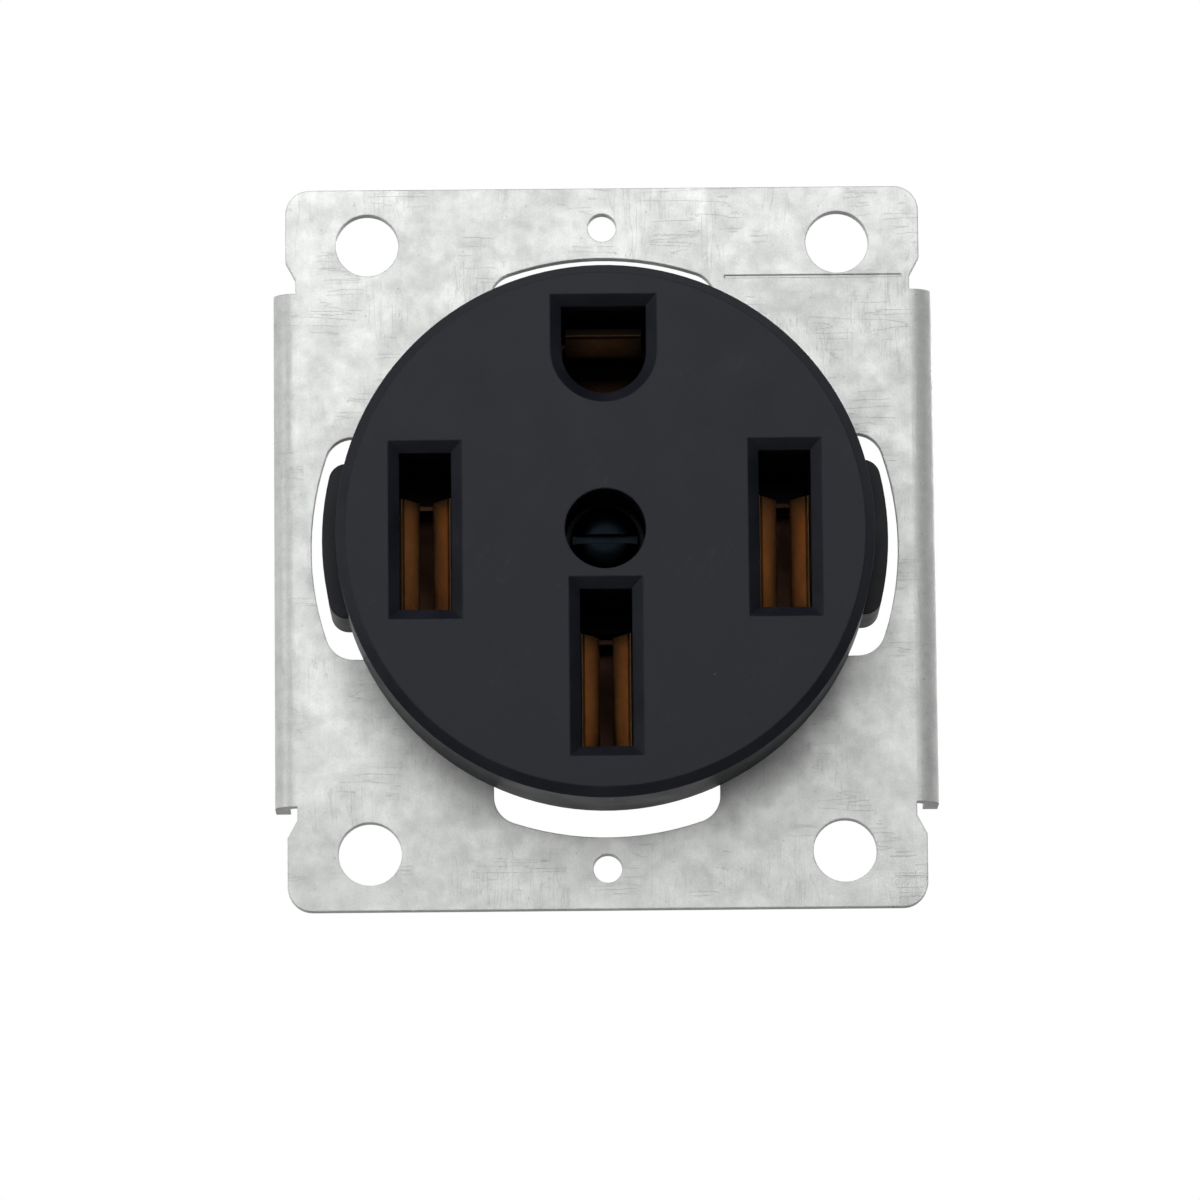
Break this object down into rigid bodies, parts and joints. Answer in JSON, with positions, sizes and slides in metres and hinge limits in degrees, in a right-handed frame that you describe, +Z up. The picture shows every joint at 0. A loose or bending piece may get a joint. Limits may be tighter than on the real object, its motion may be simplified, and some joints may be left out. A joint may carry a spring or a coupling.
{
  "type": "flush mount receptacle",
  "caption": "Round black flush receptacle on a galvanized strap: two line slots, a neutral slot, a D-shaped ground opening, box clamps behind.",
  "frame": {"origin": "middle of the strap's back face, centre of its four corner holes", "axes": "+Z up as installed, +X to the right seen from the front, face toward -Y"},
  "size_m": [0.067, 0.0365, 0.0738],
  "materials": {
    "black_plastic": "fine satin moulding",
    "galvanized_steel": "galvanized, faint rolling marks",
    "brass": "plain stamped",
    "brass_screw": "plated",
    "spring_steel": "oiled",
    "plated_steel": "zinc plated",
    "green_steel": "green plated"
  },
  "bodies": {
    "root": {"face_cover": "black_plastic", "rear_housing": "black_plastic", "mounting_strap": "galvanized_steel", "line_contact_left": "brass", "line_contact_right": "brass", "neutral_contact": "brass", "ground_contact": "brass", "line_spring_left": "spring_steel", "line_spring_right": "spring_steel", "neutral_spring": "spring_steel", "ground_spring": "spring_steel", "line_clamp_left": "brass", "line_clamp_right": "brass", "neutral_clamp": "plated_steel", "ground_clamp": "plated_steel", "line_screw_left": "brass_screw", "line_screw_right": "brass_screw", "neutral_screw": "plated_steel", "ground_screw": "green_steel", "centre_screw": "plated_steel", "centre_nut": "plated_steel", "assembly_screws": "plated_steel", "bonding_strip": "brass"}
  },
  "joints": []
}
